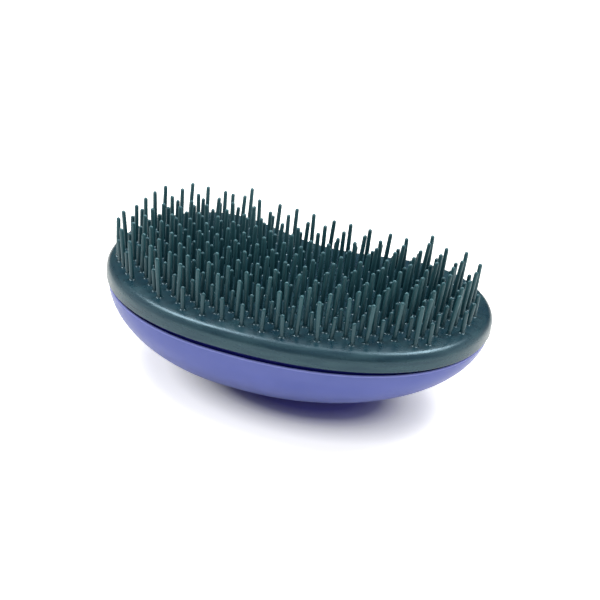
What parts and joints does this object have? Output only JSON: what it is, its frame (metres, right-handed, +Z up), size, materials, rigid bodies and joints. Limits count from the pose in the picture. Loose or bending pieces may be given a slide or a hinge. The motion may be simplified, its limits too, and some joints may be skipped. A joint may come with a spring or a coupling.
{
  "type": "palm-held detangling brush",
  "caption": "Kidney-shaped detangling hair brush held in the palm: a hollow domed back shell snapped to a pad with long and short flexible teeth.",
  "frame": {"origin": "bottom centre of the bounding box, level with the small flat on the crown of the dome that the brush rests on", "axes": "+X along the brush's length, +Y towards the long side with the waist, +Z up through the teeth"},
  "size_m": [0.115, 0.0766, 0.0423],
  "materials": {
    "back_shell": "periwinkle violet moulded plastic with a soft satin gloss",
    "tooth_pad": "dark teal flexible moulded plastic with a fine matt surface"
  },
  "bodies": {
    "root": {"back_shell": "back_shell", "tooth_pad": "tooth_pad"}
  },
  "joints": []
}
